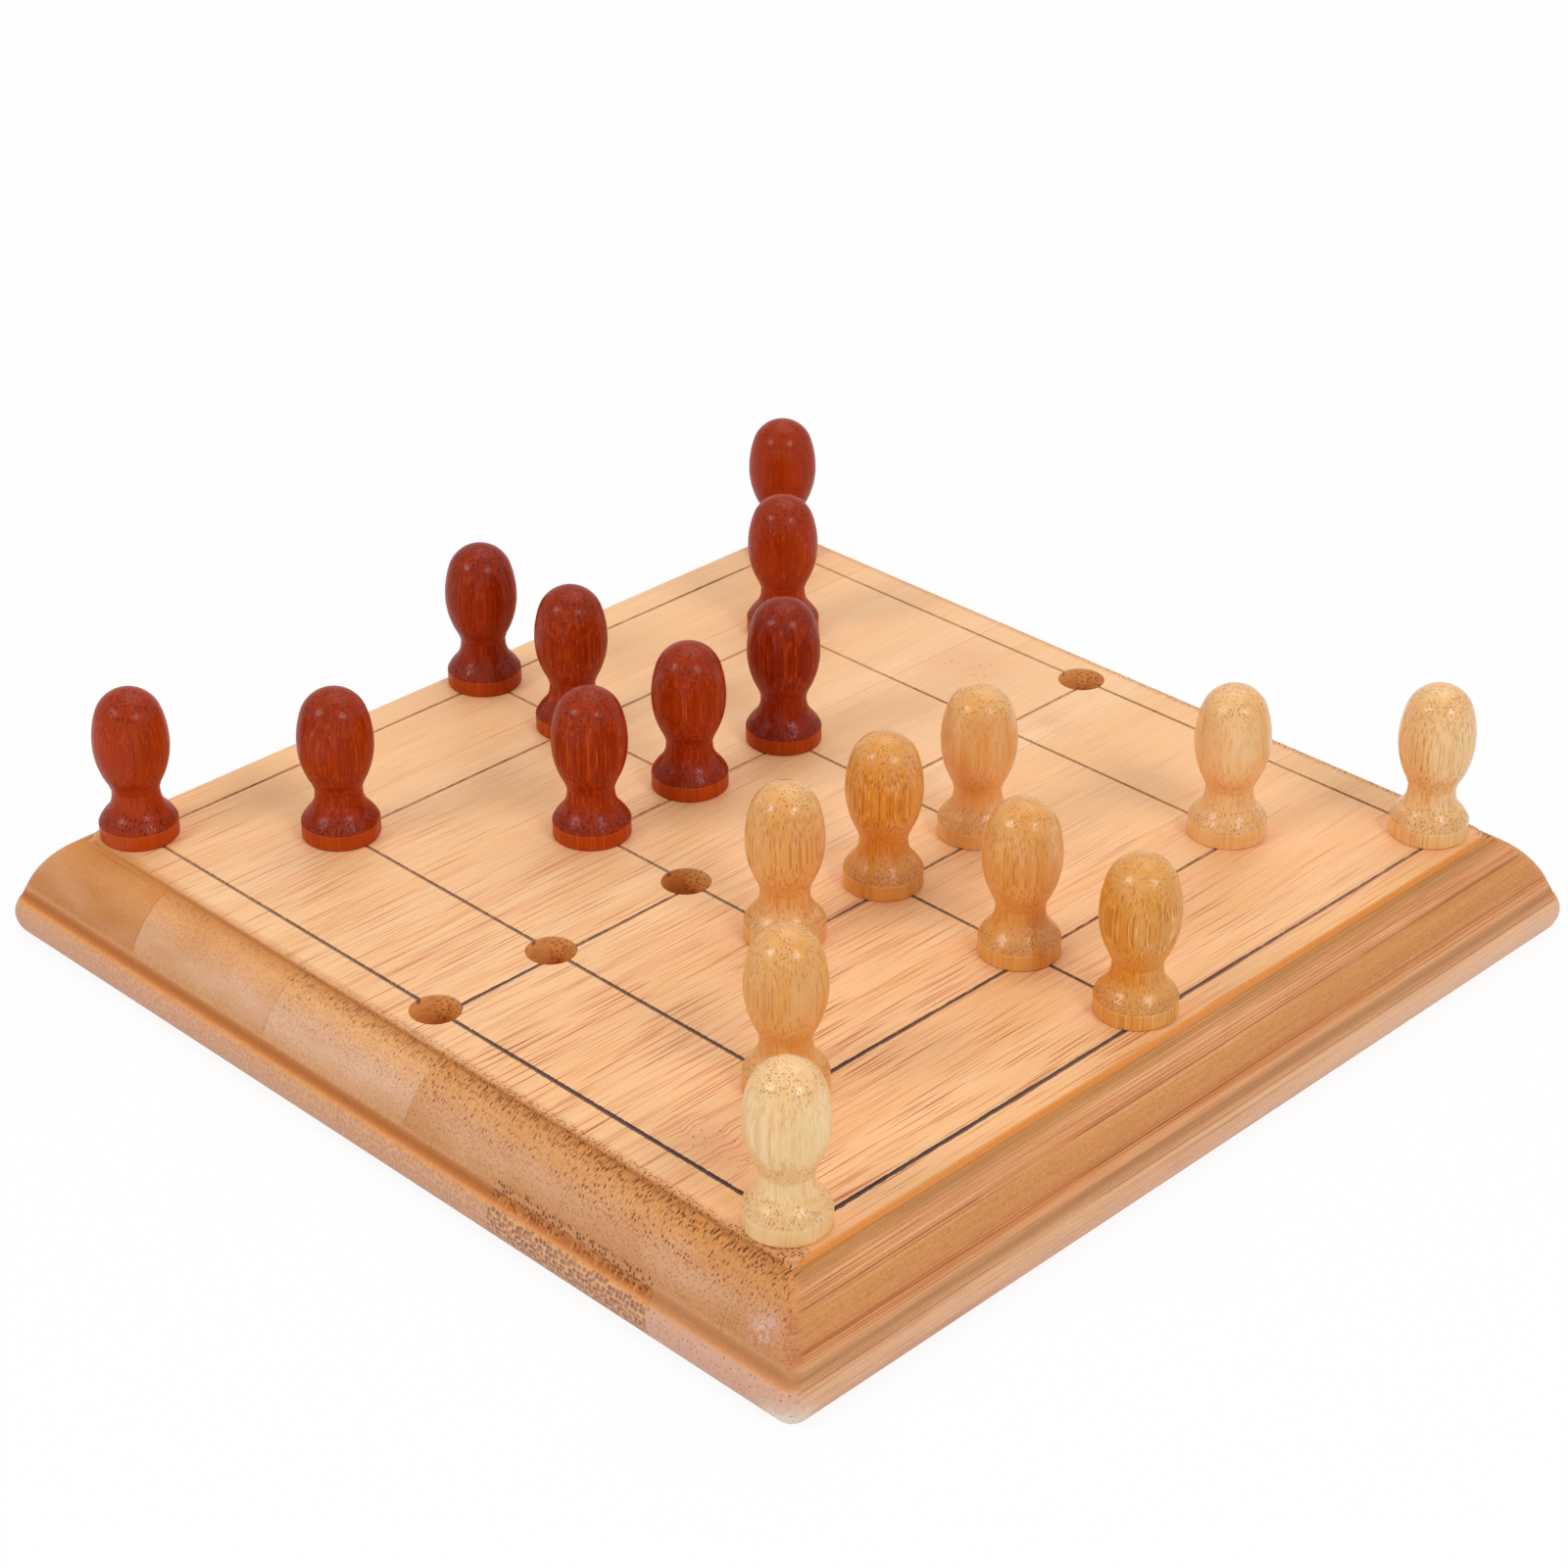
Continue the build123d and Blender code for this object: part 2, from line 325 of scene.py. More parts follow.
def side_grain(net, x, y, z, along):
    """Mouldings along the grain: bands and long lines, each at its height."""
    wander = net.noise(net.vector(3.0, along / 38.0, 2.2), 1.0)
    level = z + (wander - 0.5) * 0.35
    # Colour by height: the groove (about 5.1 to 6.2 mm) and the quirk's hollow (about 13.5 to
    # 14.2 mm) are darker, partly the wood's own colour and partly painted shade; the light band
    # at about 6.9 mm is a painted highlight
    colour = net.ramp(
        level,
        0.0,
        THICKNESS,
        (
            (0.0, srgb(224, 166, 138)),
            (2.2, srgb(232, 182, 148)),
            (4.6, srgb(234, 182, 140)),
            (5.1, srgb(216, 158, 112)),
            (5.7, srgb(190, 134, 90)),
            (6.2, srgb(202, 142, 92)),
            (6.9, srgb(236, 170, 120)),
            (7.6, srgb(228, 154, 98)),
            (8.3, srgb(204, 122, 64)),
            (9.0, srgb(212, 140, 82)),
            (11.2, srgb(216, 148, 86)),
            (12.0, srgb(218, 146, 92)),
            (12.9, srgb(226, 156, 104)),
            (13.5, srgb(204, 140, 84)),
            (13.9, srgb(186, 130, 72)),
            (14.2, srgb(200, 132, 66)),
        ),
    )
    crowd = net.ramp(
        level,
        0.0,
        THICKNESS,
        (
            (0.0, grey(1.0)),
            (2.0, grey(0.5)),
            (4.4, grey(0.7)),
            (5.4, grey(0.35)),
            (6.6, grey(0.7)),
            (8.5, grey(0.9)),
            (9.0, grey(0.25)),
            (11.2, grey(0.25)),
            (11.8, grey(1.0)),
            (13.3, grey(1.0)),
            (13.8, grey(0.4)),
        ),
    )

    # Threads lie at their own distances along the moulding's outline
    reach = level + (HALF_SIDE - abs(x)) * 0.8
    thread = net.noise(net.vector(reach / 0.2, along / 55.0, 6.1), 1.0, 0.7)
    broken = net.noise(net.vector(reach / 0.3, along / 7.0, 1.1), 1.0)
    dark = net.ease(thread + (broken - 0.5) * 0.25, 0.53, 0.68) * crowd
    pale = net.ease(thread + (broken - 0.5) * 0.25, 0.47, 0.34) * crowd
    colour = net.mix(dark * 0.75, colour, srgb(180, 100, 48))
    colour = net.mix(pale * 0.6, colour, srgb(247, 194, 144))

    # The nose pales towards the back, and a few long lines mark the edges of the mouldings
    far = net.ease(y, -30.0, 60.0) * net.ease(level, 5.0, 4.2)
    colour = net.mix(far * 0.4, colour, srgb(246, 204, 170))
    fade = net.noise(net.vector(along / 16.0, 4.4, 1.0), 1.0)
    for height, strength in ((11.85, 0.8), (8.35, 0.5), (4.95, 0.5)):
        line = net.ease(abs(level - height), 0.085, 0.02) * net.ease(fade, 0.34, 0.5)
        colour = net.mix(line * strength, colour, srgb(144, 78, 36))

    # Cut bundles speckle the widest part of the ovolo
    speckle = net.noise(net.vector(z / 0.25, along / 0.6, 2.7), 2.0, 0.7)
    middle = band(net, level, *OVOLO_BELLY, 0.3)
    colour = net.mix(net.ease(speckle, 0.52, 0.7) * middle * 0.4, colour, srgb(236, 158, 84))
    colour = net.mix(net.ease(speckle, 0.48, 0.3) * middle * 0.35, colour, srgb(178, 108, 60))

    # The wall of the quirk shines orange
    wall = band(net, z, *QUIRK_WALL, 0.1)
    colour = net.mix(wall * 0.85, colour, srgb(248, 160, 78))
    return colour, dark


def end_grain(net, x, y, z, stave, golden, pore_level, base_layer):
    """Front and back faces: the cut ends of the fibre bundles."""
    # Colour by height: the groove (about 5.4 to 6.5 mm) and the quirk's hollow (about 13.9 to
    # 14.8 mm) are darker, partly the wood's own colour and partly painted shade
    tint = net.ramp(
        z,
        0.0,
        THICKNESS,
        (
            (0.0, srgb(218, 164, 134)),
            (4.4, srgb(226, 170, 134)),
            (5.0, srgb(236, 164, 98)),
            (5.35, srgb(206, 126, 62)),
            (5.9, srgb(188, 108, 46)),
            (6.5, srgb(204, 128, 66)),
            (7.3, srgb(222, 162, 112)),
            (8.2, srgb(228, 174, 130)),
            (10.0, srgb(230, 184, 150)),
            (11.6, srgb(232, 180, 138)),
            (13.2, srgb(238, 176, 118)),
            (13.9, srgb(222, 154, 92)),
            (14.35, srgb(196, 128, 68)),
            (14.8, srgb(216, 146, 86)),
            (15.0, srgb(238, 170, 114)),
        ),
    )
    blotch = net.noise(net.vector(x / 11.0, y / 8.0, z / 4.0), 2.0)
    above = net.ease(z, 6.8, 7.8)
    gold = net.clamp(golden + (blotch - 0.5) * 1.1) * above
    gilt = net.mix(net.ease(z, 8.0, 13.0), srgb(200, 128, 68), srgb(212, 138, 70))
    colour = net.mix(gold, tint, gilt)

    # Large bundles above, and small ones that crowd towards the glue line
    bend = net.noises(net.vector(x / 5.0, stave, z / 3.0), 1.0)
    across = x + (bend[0] - 0.5) * 1.4
    up = z + (bend[1] - 0.5) * 1.2
    upper = net.ease(up, 9.8, 11.4)
    # Quirk hollow: its pores and dashes are denser and darker; the extra darkness is painted
    # shade
    hollow_pores_and_shade = band(net, z, *QUIRK_HOLLOW, 0.3)
    distance, chance = net.grid(across / 0.36 + stave * 3.1, up / 0.46)
    dash = net.ease(distance, 0.46, 0.08) * (0.3 + 0.7 * chance[0])
    dash = dash * (0.25 + 0.75 * upper) * (0.35 + 0.65 * pore_level) * above
    colour = net.mix(dash * (0.75 + 0.2 * hollow_pores_and_shade), colour, srgb(178, 106, 48))
    distance, chance = net.grid(across / 0.58 + stave * 3.7, up / 0.72)
    size = 0.06 + 0.14 * chance[0]
    large = net.ease(distance, size + 0.14, size - 0.06) * pore_level
    rare = 0.8 - pore_level * 0.4 - hollow_pores_and_shade * 0.35
    large = large * upper * net.ease(chance[2], rare, rare + 0.2)
    strength = large * (0.8 + 0.15 * hollow_pores_and_shade)
    # Painted shade: darker pore colour in the quirk's hollow
    dark = net.mix(hollow_pores_and_shade, srgb(128, 70, 32), srgb(92, 46, 22))
    colour = net.mix(strength, colour, dark)
    distance, chance = net.grid(across / 0.44 + stave * 2.1, up / 0.44)
    small = net.ease(distance, 0.34, 0.1) * net.ease(chance[0], 0.2, 0.9)
    small = small * band(net, up, 6.6, 11.4, 0.7)
    colour = net.mix(small * 0.65 * pore_level, colour, srgb(142, 92, 56))

    # Quirk: bundles crowd under the rim
    distance, chance = net.grid(across / 0.4 + stave * 1.9, up / 0.42, 1.0)
    crowded = net.ease(distance, 0.4, 0.14) * net.ease(chance[0], 0.25, 0.5)
    crowded = crowded * band(net, z, *QUIRK_SLOPE, 0.35) * net.ease(pore_level, 0.15, 0.9)
    colour = net.mix(crowded * 0.75, colour, srgb(104, 56, 28))

    # Groove: fibres bruised by the cutter, and torn out along one strip on the front
    distance, chance = net.grid(across / 0.26, z / 1.3 + chance[1] * 0.2)
    hatch = net.ease(distance, 0.4, 0.1) * (0.3 + 0.7 * chance[0]) * band(net, z, *GROOVE, 0.5)
    colour = net.mix(hatch * 0.4, colour, srgb(168, 92, 38))
    worn = net.ease(x, 51.2, 52.4) * band(net, z, 4.8, 7.6, 0.6)
    colour = net.mix(worn * 0.45, colour, srgb(212, 156, 112))
    torn_part = band(net, x, *TORN_STRIP, 0.25) * net.ease(y, 1.0, -1.0)
    uneven = net.noise(net.vector(x / 1.6, 4.0, 1.0), 1.0)
    distance, chance = net.grid(x / 0.54 + z * 0.35, z / 0.58)
    torn = net.ease(distance, 0.48, 0.18) * band(net, z + (uneven - 0.5) * 1.4, 5.6, 8.0, 0.25)
    torn = torn * torn_part * net.ease(chance[0], 0.15, 0.5)
    colour = net.mix(torn * 0.85, colour, srgb(120, 54, 22))
    distance, chance = net.grid(x / 0.55 - z * 0.3, z / 1.8)
    splinter = net.ease(distance, 0.44, 0.2) * torn_part * net.ease(chance[0], 0.0, 0.45)
    splinter = splinter * band(net, z + (uneven - 0.5) * 1.8, 4.9, 6.3, 0.15)
    colour = net.mix(splinter * 0.75, colour, srgb(230, 148, 86))

    # Base layer: scales with pale gaps between them, and flecks where there are none
    nose = band(net, z, *NOSE, 0.12) * base_layer
    distance, chance = net.grid(across / 0.7 + stave * 5.3, z / 0.62, 0.6)
    scale = net.ease(distance, 0.62, 0.26) * (0.6 + 0.4 * chance[0]) * nose
    colour = net.mix(nose * pore_level * 0.5, colour, srgb(240, 184, 128))
    shaded = net.mix(pore_level, srgb(186, 132, 102), srgb(134, 84, 70))
    colour = net.mix(scale * (0.25 + 0.75 * pore_level) * 0.85, colour, shaded)
    bare = nose * net.ease(pore_level, 0.05, 0.0)
    fleck = net.ease(distance, 0.24, 0.1) * net.ease(chance[1], 0.6, 0.7) * bare
    colour = net.mix(bare * (0.25 + 0.5 * blotch), colour, srgb(228, 184, 162))
    colour = net.mix(fleck * 0.8, colour, srgb(164, 112, 82))
    return colour, large + small * 0.3 + torn


def board_material(name, seam_x, tones, pores, golds, base_layer):
    """Glued bamboo strips: a base tone, pore and gold level for each, from -X to +X.

    base_layer is 1 for the layer underneath and 0 for the top one.
    """
    net = Net(name)
    x, y, z = net.place()
    normal = net.normal()
    edges = seams(seam_x)
    stave = net.math("FLOOR", (x - seam_x) / STAVE_WIDTH)
    own = net.chance(stave + 7.3)
    tone = net.steps(x, edges, tones)
    pore_level = net.steps(x, edges, pores)
    golden = net.steps(x, edges, golds)
    outward = net.high(abs(x), abs(y))

    # The underside stays plain; flank is the moulded edge, and ends its front and back
    upper = net.ease(normal[2], -0.9, -0.6)
    flank = net.ease(outward, TOP_EDGE - 0.35, TOP_EDGE - 0.1) * upper
    patchy = net.noise(net.vector(x / 0.7, y / 0.7, z / 0.7), 2.0, 0.7)
    ends = net.ease(abs(y) - abs(x) + (patchy - 0.5) * 1.6, -2.2, -0.2)

    # Knots bend and break the fibres
    knots = [net.spot(x, y, centre, reach) * level for centre, reach, level in KNOTS]
    knot = net.clamp(knots[0] + knots[1] + knots[2]) * (1.0 - flank) * upper
    swirl = net.noises(net.vector(x / 4.0, y / 3.0, 3.1), 1.0)
    sway = net.noises(net.vector(x * 0.07, z * 0.07, y * 0.02))
    across = x + stave * 41.0 + knot * (swirl[0] - 0.5) * 3.0 + (sway[0] - 0.5) * 2.0
    along = y + own[0] * 300.0 + knot * (swirl[1] - 0.5) * 20.0
    depth = z + own[1] * 60.0 + (sway[1] - 0.5) * 2.0

    flat, streak = top_grain(net, x, y, across, along, depth, knot, tone)

    # Dotted rim of the top where its edge cuts the fibres
    rim = net.ease(outward, TOP_EDGE - 1.6, TOP_EDGE - 0.3) * ends
    rim = net.clamp(rim + net.spot(x, y, (67.0, -67.0), (2.6, 2.6)) * 1.6) * upper
    distance, chance = net.grid(x / 0.46, y / 0.52)
    rim_dot = net.ease(distance, 0.44, 0.18) * net.ease(chance[0], 0.12, 0.4)
    rim_dot = rim_dot * rim * net.ease(x, -45.0, 25.0)
    flat = net.mix(rim * 0.45, flat, srgb(204, 128, 72))
    flat = net.mix(rim_dot * 0.9, flat, srgb(112, 58, 30))

    sides, thread = side_grain(net, x, y, z, along)
    butts, pore = end_grain(net, x, y, z, stave, golden, pore_level, base_layer)
    surface = net.mix(flank, flat, net.mix(ends, sides, butts))

    # Seams between the strips
    seam = net.ease(net.math("PINGPONG", x - seam_x, STAVE_WIDTH / 2), 0.11, 0.03)
    surface = net.mix(seam * 0.3, surface, srgb(150, 90, 52))

    # Near corner: reddish ridge, a pinkish-white patch beside it and a worn tip
    mitre = net.ease(abs(x + y), 2.6, 0.3) * net.ease(x - y, 120.0, 130.0)
    ridge = mitre * band(net, z, 7.2, 12.0, 0.8) * net.ease(patchy, 0.25, 0.6)
    surface = net.mix(ridge * 0.5, surface, srgb(192, 92, 44))
    pale_patch = net.spot(x, y, (68.6, -73.0), (1.8, 3.0)) * band(net, z, 8.0, 11.0, 0.9)
    pale_patch = pale_patch * net.ease(patchy, 0.42, 0.6)
    surface = net.mix(pale_patch * 0.8, surface, srgb(232, 190, 180))
    tip = net.spot(x, y, (74.0, -74.6), (3.0, 2.4)) * net.ease(z, 4.4, 1.2)
    surface = net.mix(tip * net.ease(patchy, 0.2, 0.5), surface, srgb(250, 240, 222))

    # Fibre brightness and a grain of fine specks
    fine = net.noise(net.vector(across / 0.16, depth / 0.16, along / 9.0), 2.0)
    mid = net.noise(net.vector(across / 0.7, depth / 0.7, along / 45.0), 2.0)
    dust = net.noise(net.vector(x / 0.24, y / 0.24, z / 0.24), 2.0, 0.7)
    shade = 1.0 + (fine - 0.5) * 0.2 + (mid - 0.5) * 0.12
    shade = shade + (dust - 0.5) * (0.1 + 0.3 * flank)
    surface = net.brightness(surface, shade)

    # Holes: long grain on two sides, cut bundles where the wall crosses the fibres, and painted
    # shade that darkens the wall deeper down
    inside = net.ease(outward, 66.5, 66.0)
    inside = inside * net.ease(z, THICKNESS - 0.26, THICKNESS - 0.32) * upper
    # Painted shade: the hole wall goes from light at the rim to darker deeper down
    wall = net.mix(net.ease(z, 14.6, 9.5), srgb(255, 192, 114), srgb(226, 142, 72))
    lengthwise = net.noise(net.vector(z / 0.4, x / 0.4, y / 16.0), 1.0)
    wall = net.mix(net.ease(lengthwise, 0.5, 0.7) * 0.5, wall, srgb(206, 128, 60))
    distance, chance = net.grid(x / 0.6, z / 0.6)
    bundle = net.ease(distance, 0.42, 0.16) * (0.3 + 0.7 * chance[0])
    bundle = bundle * net.ease(abs(normal[1]), 0.5, 0.75)
    wall = net.mix(bundle * 0.8, wall, srgb(150, 84, 38))
    surface = net.mix(inside, surface, net.brightness(wall, shade))

    # Marked lines: burnt in, ragged where they cross the grain
    ragged = net.noise(net.vector(x / 0.2, y / 1.6, 1.7), 2.0, 0.65)
    slow = net.noise(net.vector(x / 25.0, y / 25.0, 9.2), 1.0)
    heavy = net.ease(y - x, 40.0, -128.0)
    half_width = 0.22 + heavy * 0.14 + (slow - 0.5) * 0.12 + (ragged - 0.5) * (0.2 + 0.25 * heavy)
    line = net.ease(line_distance(net, x, y) - half_width, 0.06, -0.04)
    line = line * (1.0 - flank) * net.ease(z, 14.0, 14.6)
    burn = net.mix(ragged, srgb(104, 80, 78), srgb(66, 50, 56))
    surface = net.mix(line * (0.58 + 0.38 * heavy), surface, burn)

    # Gloss and relief
    gloss = 0.42 + (fine - 0.5) * 0.2 + flank * 0.1 + line * 0.25 - streak * 0.05
    height = (fine - 0.5) * 0.016 - streak * (1.0 - flank) * 0.012
    height = height - (thread * (1.0 - ends) * 0.02 + pore * ends * 0.1) * flank
    height = height + (dust - 0.5) * flank * 0.03
    return net.finish(surface, gloss, height, Specular_IOR_Level=0.25)


def peg_material(name, colours, look):
    """Turned bamboo: bundles show as dots where the surface cuts them and as streaks elsewhere.

    Each peg's own tone, streakiness and shift of the pattern are in its mesh.
    """
    net = Net(name)
    x, y, z = net.place()
    normal = net.normal()
    attribute = net.add("Attribute", {}, attribute_name="tone")
    tone, streaky, shift = net.split(Signal(net, attribute.outputs["Vector"]))
    ends = net.ease(abs(normal[2]), 0.2, 0.6)

    # Stain and grain
    lean = net.noises(net.vector(z / 24.0, shift * 9.0, 0.0), 1.0)
    u = x + shift * 50.0 + (lean[0] - 0.5) * 1.2
    v = y + shift * 31.0 + (lean[1] - 0.5) * 1.2
    w = z + shift * 400.0
    fine = net.noise(net.vector(u / 0.15, v / 0.15, w / 9.0), 2.0)
    mid = net.noise(net.vector(u / 0.6, v / 0.6, w / 40.0), 2.0)
    broad = net.noise(net.vector(u / 4.0, v / 4.0, w / 14.0), 1.0)
    base = net.mix(net.clamp(tone + (broad - 0.5) * 0.8), colours["pale"], colours["warm"])
    base = net.mix(net.ease(mid, 0.46, 0.7) * (0.25 + 0.65 * streaky), base, colours["band"])
    base = net.mix(ends * look["end"], base, colours["end"])
    glow = net.noise(net.vector(u / 0.22, v / 0.22, w / 30.0), 1.0)
    glow = net.ease(glow, 0.56, 0.72) * (1.0 - ends) * (0.3 + 0.7 * streaky)
    base = net.mix(glow * look["glow"], base, colours["glow"])

    # Fibre bundles
    distance, chance = net.grid(u / look["spacing"], v / look["spacing"], 0.9)
    size = 0.14 + 0.14 * chance[0]
    bundle = net.ease(distance, size + 0.1, size - 0.05) * net.ease(chance[2], 0.1, 0.45)
    patch = net.noise(net.vector(u / 2.2, v / 2.2, w / 2.2), 1.0)
    dot = bundle * ends * net.ease(patch, 0.36, 0.5)
    side = bundle * (1.0 - ends) * look["grain"] * (0.12 + 0.88 * streaky)
    base = net.mix(side, base, colours["streak"])
    base = net.mix(dot * look["dot"], base, colours["dot"])

    # Painted shade in the neck and under the head, warmed by light reflected from the board
    neck = band(net, z, THICKNESS + NECK_SHADE_BAND[0], THICKNESS + NECK_SHADE_BAND[1], 1.8)
    base = net.mix(neck * look["neck"] * (0.25 + 0.75 * tone), base, colours["neck"])

    # Foot: a clean side, a dotted dome above it, and a painted highlight along the arris between
    # them
    foot_top = THICKNESS + FOOT_HEIGHT
    foot = net.ease(z, foot_top - 0.02, foot_top - 0.16)
    base = net.mix(foot * look["foot"], base, colours["foot"])
    dome = net.ease(z, foot_top - 0.08, foot_top + 0.04)
    dome = dome * net.ease(z, foot_top + 1.9, foot_top + 0.9)
    distance, chance = net.grid(u / 0.3, v / 0.3, 1.0)
    mottle = net.ease(distance, 0.5, 0.12) * net.ease(chance[0], 0.1, 0.6)
    mottled = dome * (0.25 + 0.75 * mottle) * look["dome"] * (0.4 + 0.6 * streaky)
    base = net.mix(mottled, base, colours["dome"])
    # Painted highlight: a light line along the arris
    arris = band(net, z, foot_top - 0.14, foot_top - 0.04, 0.05) * net.ease(patch, 0.3, 0.5)
    base = net.mix(arris * look["arris"], base, colours["glow"])

    # Gloss and relief
    base = net.brightness(base, 1.0 + (fine - 0.5) * 0.24 + (mid - 0.5) * 0.1)
    gloss = look["rough"] + (fine - 0.5) * 0.14 + dot * 0.2
    pits = net.noise(net.vector(x / 0.3, y / 0.3, z / 0.3), 1.0)
    height = (fine - 0.5) * 0.016 - dot * 0.016 + (patch - 0.5) * 0.03 + (pits - 0.5) * 0.022
    height = height - mottle * dome * 0.03
    return net.finish(
        base,
        gloss,
        height,
        Specular_IOR_Level=look["specular"],
        Coat_Weight=look["coat"],
        Coat_Roughness=look["coat_rough"],
    )


top_bamboo = board_material(
    "top_bamboo",
    TOP_SEAM_X,
    (0.45, 0.25, 0.3, 0.45, 0.5, 0.6),
    (0.05, 0.3, 0.6, 0.85, 1.0, 1.0),
    (0.8, 0.3, 0.05, 0.5, 0.55, 0.65),
    0.0,
)
base_bamboo = board_material(
    "base_bamboo",
    BASE_SEAM_X,
    (0.4, 0.45, 0.3, 0.4, 0.5, 0.3),
    (0.1, 0.22, 0.26, 0.36, 1.0, 0.0),
    (0.6, 0.3, 0.1, 0.4, 0.5, 0.4),
    1.0,
)
natural_bamboo = peg_material(
    "natural_bamboo",
    {
        "pale": srgb(255, 217, 161),
        "warm": srgb(228, 148, 46),
        "band": srgb(220, 144, 60),
        "glow": srgb(255, 220, 150),
        "streak": srgb(178, 98, 26),
        "end": srgb(234, 172, 98),
        "dot": srgb(162, 90, 28),
        "foot": srgb(240, 180, 96),
        "dome": srgb(176, 106, 50),
        "neck": srgb(226, 134, 28),
    },
    {
        "end": 0.35,
        "glow": 0.55,
        "grain": 0.8,
        "spacing": 0.37,
        "dot": 0.7,
        "foot": 0.3,
        "dome": 0.7,
        "arris": 0.6,
        "neck": 0.35,
        "rough": 0.36,
        "specular": 0.1,
        "coat": 0.6,
        "coat_rough": 0.12,
    },
)
red_bamboo = peg_material(
    "red_stained_bamboo",
    {
        "pale": srgb(176, 54, 4),
        "warm": srgb(132, 30, 2),
        "band": srgb(184, 66, 10),
        "glow": srgb(228, 108, 30),
        "streak": srgb(104, 22, 2),
        "end": srgb(142, 42, 12),
        "dot": srgb(64, 12, 2),
        "foot": srgb(206, 88, 18),
        "dome": srgb(84, 16, 2),
        "neck": srgb(158, 44, 4),
    },
    {
        "end": 0.35,
        "glow": 0.5,
        "grain": 0.45,
        "spacing": 0.52,
        "dot": 0.7,
        "foot": 0.4,
        "dome": 0.7,
        "arris": 0.45,
        "neck": 0.3,
        "rough": 0.4,
        "specular": 0.03,
        "coat": 0.24,
        "coat_rough": 0.12,
    },
)

for name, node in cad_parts.items():
    if name.startswith("top_stave"):
        finish = top_bamboo
    elif name.startswith("base_stave"):
        finish = base_bamboo
    else:
        continue
    node.data.materials.clear()
    node.data.materials.append(finish)


# Turned pegs: the profile follows the CAD's arcs, with small roundings on the foot.
# Heights are above the board, and a pair is a radius and a height.
FOOT_RADIUS = 5.4
FOOT_UNDER_RADIUS = 4.8
FOOT_ROUND = 0.26
SKIRT = (4.3, 3.9)
NECK = (3.28, 6.5)
HEAD_BASE_HEIGHT = 8.6
WIDEST = (5.2, 14.2)
PEG_HEIGHT = 22.0
CAP_RADIUS = 4.7
SPIGOT_RADIUS = 3.2
SPIGOT_LENGTH = 7.8
SPIGOT_CHAMFER = 0.5
ARRIS_ROUND = 0.12
PROFILE_STEP = 0.28
ROUND_STEPS = 4
SEGMENTS = 72

# Crease under the head
CREASE_HEIGHT = 7.15
CREASE_WIDTH = 0.28
CREASE_DEPTH = 0.11

# Flats on a foot: their depth, and the cosine up to which none can reach its round
FLAT_DEPTH = 0.16
FLAT_COSINE = 0.9

# Shares of the radius by which a peg is out of round
OVAL = 0.003
THREE_LOBES = 0.002
RIPPLE = 0.0012


def rotated(vector, angle):
    """The plane vector turned by an angle."""
    return (
        vector[0] * math.cos(angle) - vector[1] * math.sin(angle),
        vector[0] * math.sin(angle) + vector[1] * math.cos(angle),
    )


def tangent_arc(start, end, heading):
    """Points of the arc that leaves start along heading, and the heading at its end."""
    chord = (end[0] - start[0], end[1] - start[1])
    cross = heading[0] * chord[1] - heading[1] * chord[0]
    dot = heading[0] * chord[0] + heading[1] * chord[1]
    turn = 2 * math.atan2(cross, dot)
    length = math.hypot(*chord)
    radius = length / (2 * math.sin(turn / 2))
    count = max(2, math.ceil(length / PROFILE_STEP))
    points = []
    for step in range(count + 1):
        angle = turn * step / count
        ahead = rotated(heading, angle / 2)
        reach = 2 * radius * math.sin(angle / 2)
        points.append((start[0] + ahead[0] * reach, start[1] + ahead[1] * reach))
    return points, rotated(heading, turn)


def rounded(before, corner, after, radius):
    """Points that replace a corner by a small round."""
    result = []
    for part in range(ROUND_STEPS + 1):
        share = part / ROUND_STEPS
        points = []
        for other in (before, after):
            gap = math.hypot(other[0] - corner[0], other[1] - corner[1])
            points.append(
                (
                    corner[0] + (other[0] - corner[0]) * radius / gap,
                    corner[1] + (other[1] - corner[1]) * radius / gap,
                )
            )
        (ax, ay), (bx, by) = points
        for_a, for_c, for_b = (1 - share) ** 2, 2 * share * (1 - share), share**2
        result.append(
            (
                ax * for_a + corner[0] * for_c + bx * for_b,
                ay * for_a + corner[1] * for_c + by * for_b,
            )
        )
    return result


